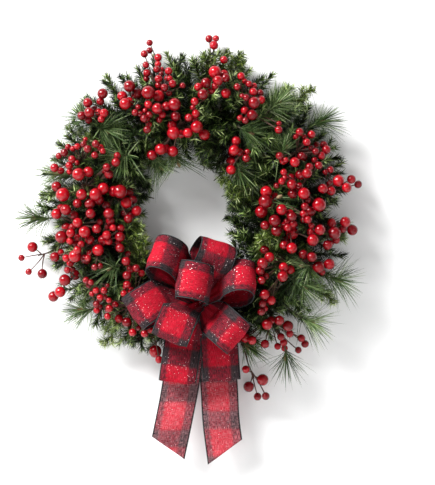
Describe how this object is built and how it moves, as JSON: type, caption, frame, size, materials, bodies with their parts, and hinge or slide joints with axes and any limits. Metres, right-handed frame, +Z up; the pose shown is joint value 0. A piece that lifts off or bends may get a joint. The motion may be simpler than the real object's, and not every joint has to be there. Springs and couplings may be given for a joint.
{
  "type": "christmas door wreath",
  "caption": "Round evergreen door wreath on a wire ring, with red berry sprays and a looped black and red check ribbon bow with tails.",
  "frame": {"origin": "on the back of the wire ring, at the middle of its top, where it rests against the door", "axes": "+Z up, +Y into the door, so the wreath faces -Y; +X is to the right as seen from the front"},
  "size_m": [0.6106, 0.1565, 0.7432],
  "materials": {
    "steel_wire": "galvanised",
    "pine_foliage": "matte, soft cut film",
    "long_pine_foliage": "matte",
    "fir_foliage": "satin",
    "berries": "gloss lacquer on foam, brown wire stems",
    "ribbon": "woven buffalo check with fine glitter and wired edges"
  },
  "bodies": {
    "root": {"berry_spray_bottom_sprig": "berries", "berry_spray_inner_right": "berries", "berry_spray_left_high": "berries", "berry_spray_left_inner": "berries", "berry_spray_left_low": "berries", "berry_spray_left_middle": "berries", "berry_spray_left_rim": "berries", "berry_spray_left_shoulder": "berries", "berry_spray_left_sprig": "berries", "berry_spray_lower_left": "berries", "berry_spray_lower_right": "berries", "berry_spray_right_high": "berries", "berry_spray_right_inner": "berries", "berry_spray_right_low": "berries", "berry_spray_right_middle": "berries", "berry_spray_right_outer": "berries", "berry_spray_right_rim": "berries", "berry_spray_right_shoulder": "berries", "berry_spray_top_left_sprig": "berries", "berry_spray_top_right": "berries", "berry_spray_top_sprig": "berries", "berry_spray_upper_inner": "berries", "berry_spray_upper_left": "berries", "berry_spray_upper_left_rim": "berries", "berry_spray_upper_right": "berries", "bow_ribbon": "ribbon", "bow_tie_wire": "steel_wire", "fir_sprig_1": "fir_foliage", "fir_sprig_2": "fir_foliage", "fir_sprig_3": "fir_foliage", "fir_sprig_4": "fir_foliage", "fir_sprig_5": "fir_foliage", "fir_sprig_6": "fir_foliage", "fir_sprig_7": "fir_foliage", "fir_sprig_8": "fir_foliage", "long_needle_pine_1": "long_pine_foliage", "long_needle_pine_2": "long_pine_foliage", "long_needle_pine_3": "long_pine_foliage", "long_needle_pine_4": "long_pine_foliage", "long_needle_pine_5": "long_pine_foliage", "long_needle_pine_6": "long_pine_foliage", "long_needle_pine_7": "long_pine_foliage", "long_needle_pine_8": "long_pine_foliage", "long_needle_pine_9": "long_pine_foliage", "pine_foliage_01": "pine_foliage", "pine_foliage_02": "pine_foliage", "pine_foliage_03": "pine_foliage", "pine_foliage_04": "pine_foliage", "pine_foliage_05": "pine_foliage", "pine_foliage_06": "pine_foliage", "pine_foliage_07": "pine_foliage", "pine_foliage_08": "pine_foliage", "pine_foliage_09": "pine_foliage", "pine_foliage_10": "pine_foliage", "pine_foliage_11": "pine_foliage", "pine_foliage_12": "pine_foliage", "wire_ring": "steel_wire"}
  },
  "joints": []
}
